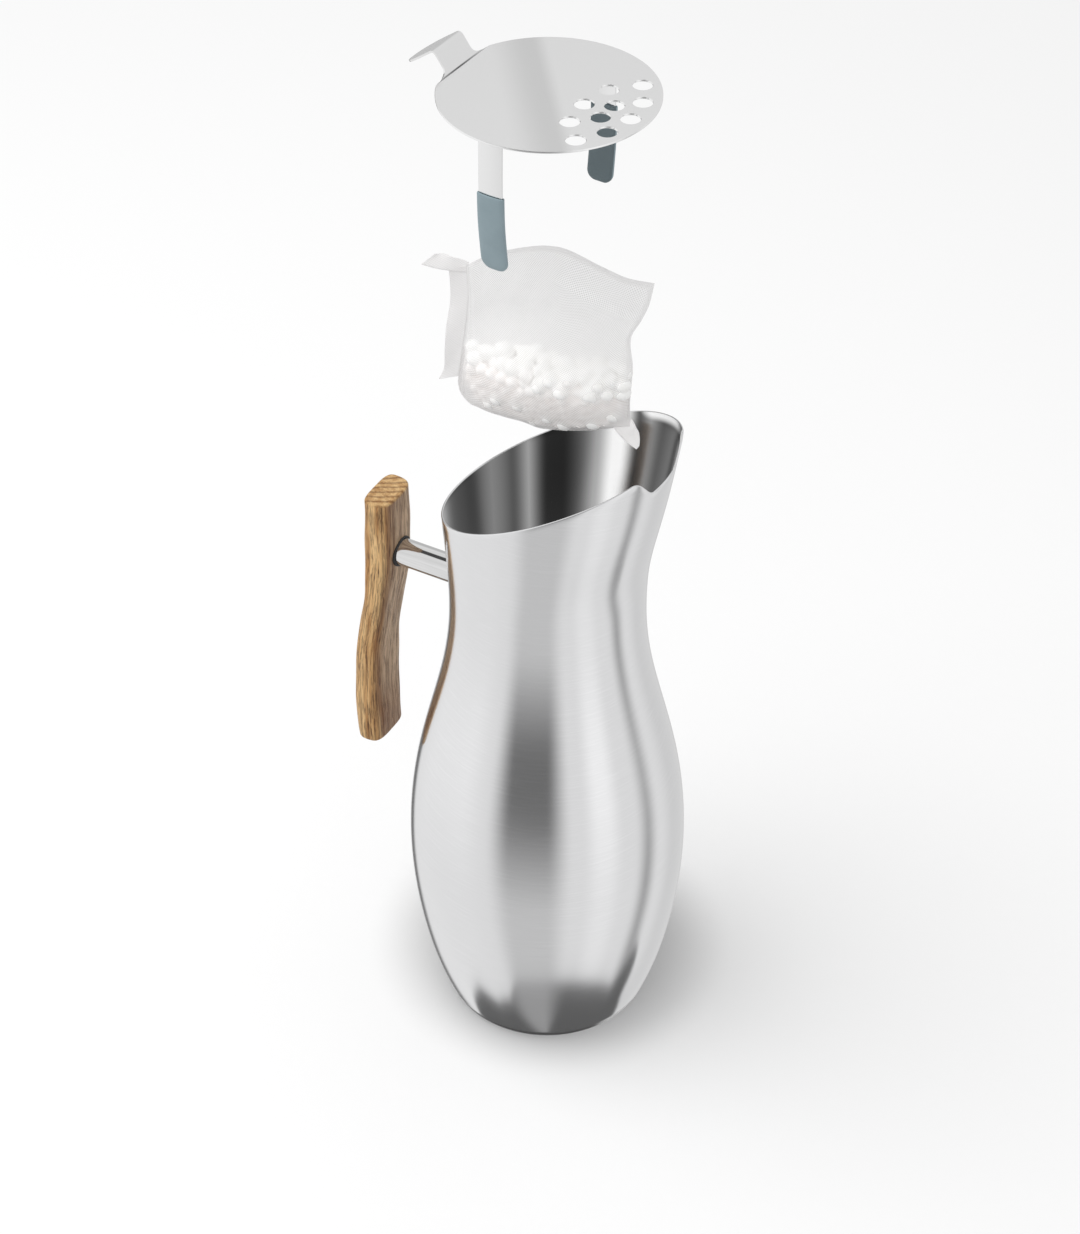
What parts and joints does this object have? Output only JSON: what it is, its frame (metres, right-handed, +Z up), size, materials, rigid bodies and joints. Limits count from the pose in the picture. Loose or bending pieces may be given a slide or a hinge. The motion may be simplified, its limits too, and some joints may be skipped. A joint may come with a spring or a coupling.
{
  "type": "water filter pitcher",
  "caption": "Waisted steel water pitcher with a flat wooden handle, a lift-off perforated lid on sprung legs, and a cloth pouch of ceramic filter beads.",
  "frame": {"origin": "middle of the base, on the surface that the pitcher stands on", "axes": "+Z up; +X from the handle towards the spout; +Y completes the right-handed frame, across the pitcher"},
  "size_m": [0.1468, 0.1166, 0.4504],
  "materials": {
    "body_steel": "brushed round the body",
    "lid_steel": "fine satin",
    "hardware_steel": "machined",
    "insert_brass": "machined",
    "gasket_rubber": "matte",
    "handle_wood": "oiled",
    "sleeve_silicone": "matte silicone",
    "pouch_cloth": "fine open weave",
    "bead_ceramic": "unglazed"
  },
  "bodies": {
    "pitcher": {"body_shell": "body_steel", "base_plate": "body_steel", "post_tube": "body_steel", "post_plug": "hardware_steel", "handle_stud": "hardware_steel", "lock_washer": "hardware_steel", "thread_insert": "insert_brass", "post_gasket": "gasket_rubber", "wood_handle": "handle_wood"},
    "lid": {"lid_disc": "lid_steel", "thumb_tab": "lid_steel", "spring_leg_left": "lid_steel", "spring_leg_right": "lid_steel", "silicone_sleeve_left": "sleeve_silicone", "silicone_sleeve_right": "sleeve_silicone"},
    "filter_pouch": {"pouch_front_sheet": "pouch_cloth", "pouch_back_sheet": "pouch_cloth", "pouch_side_flange": "pouch_cloth", "pouch_tail": "pouch_cloth", "pouch_corner_flap": "pouch_cloth", "ceramic_beads": "bead_ceramic"}
  },
  "joints": [
    {"name": "lid_travel", "type": "slide", "parent": "pitcher", "child": "lid", "axis": [0, 0, 1], "range_m": [-0.1926, 0]},
    {"name": "pouch_travel", "type": "slide", "parent": "pitcher", "child": "filter_pouch", "axis": [0, 0, 1], "range_m": [-0.291, 0], "deforming": ["pouch_side_flange", "pouch_tail", "pouch_corner_flap"]}
  ],
  "couplings": [
    {"joint": "pouch_travel", "follows": "lid_travel", "ratio": 1.51}
  ]
}
